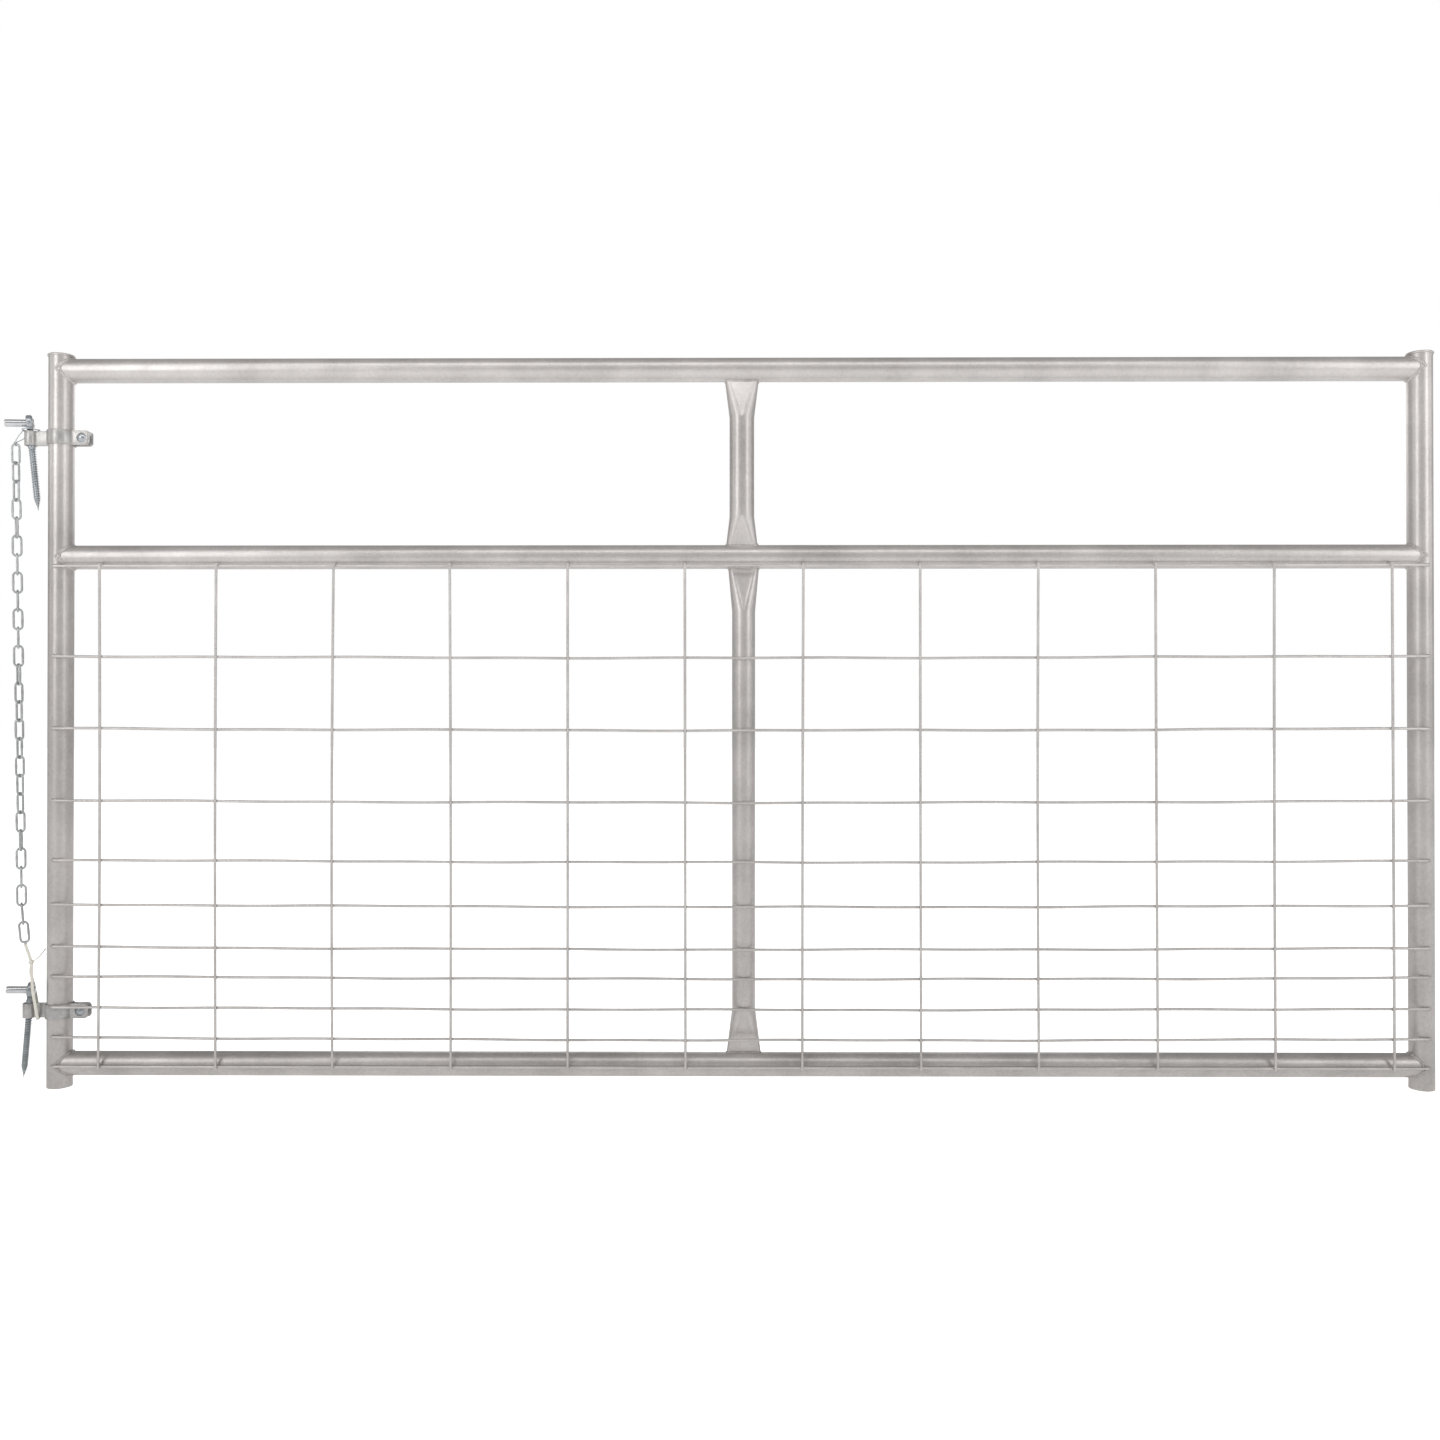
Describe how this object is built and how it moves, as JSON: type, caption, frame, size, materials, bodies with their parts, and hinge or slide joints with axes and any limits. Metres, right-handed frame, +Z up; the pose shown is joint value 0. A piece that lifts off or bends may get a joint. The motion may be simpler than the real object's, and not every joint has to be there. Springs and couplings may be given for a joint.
{
  "type": "livestock panel gate",
  "caption": "Welded tube gate with a graduated wire panel, a centre upright, two bolted hinge straps with lag hooks, and a latch chain tied beside the hinge post.",
  "frame": {"origin": "centre of the lower hinge strap's eye, on the hinge line", "axes": "+X along the gate from the hinge line to the latch post, +Z up the hinge line, -Y out of the face that carries the wire panel"},
  "size_m": [2.48, 0.0531, 1.276],
  "materials": {
    "galvanised_tube": "matt",
    "galvanised_wire": "matt",
    "galvanised_strap": "satin",
    "zinc_hardware": "satin",
    "zinc_chain": "satin",
    "nylon_tie": "matt"
  },
  "bodies": {
    "gate_frame": {"hinge_post": "galvanised_tube", "hinge_post_cap": "galvanised_tube", "latch_post": "galvanised_tube", "latch_post_cap": "galvanised_tube", "top_rail": "galvanised_tube", "middle_rail": "galvanised_tube", "bottom_rail": "galvanised_tube", "upper_brace": "galvanised_tube", "lower_brace": "galvanised_tube", "line_wire_1": "galvanised_wire", "line_wire_2": "galvanised_wire", "line_wire_3": "galvanised_wire", "line_wire_4": "galvanised_wire", "line_wire_5": "galvanised_wire", "line_wire_6": "galvanised_wire", "line_wire_7": "galvanised_wire", "line_wire_8": "galvanised_wire", "line_wire_9": "galvanised_wire", "line_wire_10": "galvanised_wire", "line_wire_11": "galvanised_wire", "stay_wire_1": "galvanised_wire", "stay_wire_2": "galvanised_wire", "stay_wire_3": "galvanised_wire", "stay_wire_4": "galvanised_wire", "stay_wire_5": "galvanised_wire", "stay_wire_6": "galvanised_wire", "stay_wire_7": "galvanised_wire", "stay_wire_8": "galvanised_wire", "stay_wire_9": "galvanised_wire", "stay_wire_10": "galvanised_wire", "stay_wire_11": "galvanised_wire", "stay_wire_12": "galvanised_wire", "upper_hinge_strap": "galvanised_strap", "upper_hinge_bolt": "zinc_hardware", "upper_hinge_nut": "zinc_hardware", "lower_hinge_strap": "galvanised_strap", "lower_hinge_bolt": "zinc_hardware", "lower_hinge_nut": "zinc_hardware", "chain_tie_wire": "zinc_hardware", "cable_tie": "nylon_tie"},
    "upper_hook": {"upper_lag_hook": "zinc_hardware", "upper_hook_pin": "zinc_hardware"},
    "lower_hook": {"lower_lag_hook": "zinc_hardware", "lower_hook_pin": "zinc_hardware"},
    "chain_1": {"chain_section_1": "zinc_chain"},
    "chain_2": {"chain_section_2": "zinc_chain"},
    "chain_3": {"chain_section_3": "zinc_chain"},
    "chain_4": {"chain_section_4": "zinc_chain"},
    "chain_5": {"chain_section_5": "zinc_chain"}
  },
  "joints": [
    {"name": "upper_hook_swivel", "type": "hinge", "parent": "gate_frame", "child": "upper_hook", "pos_m": [0, 0, 0.997], "axis": [0, 0, 1], "range_deg": [-120, 110]},
    {"name": "lower_hook_swivel", "type": "hinge", "parent": "gate_frame", "child": "lower_hook", "pos_m": [0, 0, 0], "axis": [0, 0, 1], "range_deg": [-60, 80]},
    {"name": "chain_pivot_1", "type": "hinge", "parent": "gate_frame", "child": "chain_1", "pos_m": [-0.0269, 0, 0.98795], "axis": [-0.9986, 0.0523, 0], "range_deg": [0, 60]},
    {"name": "chain_pivot_2", "type": "hinge", "parent": "chain_1", "child": "chain_2", "pos_m": [-0.02377, 0, 0.79148], "axis": [-0.8746, -0.4848, 0], "range_deg": [0, 60]},
    {"name": "chain_pivot_3", "type": "hinge", "parent": "chain_2", "child": "chain_3", "pos_m": [-0.02117, 0, 0.631], "axis": [-0.4848, 0.8746, 0], "range_deg": [0, 60]},
    {"name": "chain_pivot_4", "type": "hinge", "parent": "chain_3", "child": "chain_4", "pos_m": [-0.01856, 0, 0.47052], "axis": [0.4695, 0.8829, 0], "range_deg": [0, 60]},
    {"name": "chain_pivot_5", "type": "hinge", "parent": "chain_4", "child": "chain_5", "pos_m": [-0.01544, 0, 0.27794], "axis": [-0.2857, 0.9583, 0], "range_deg": [0, 60]}
  ]
}
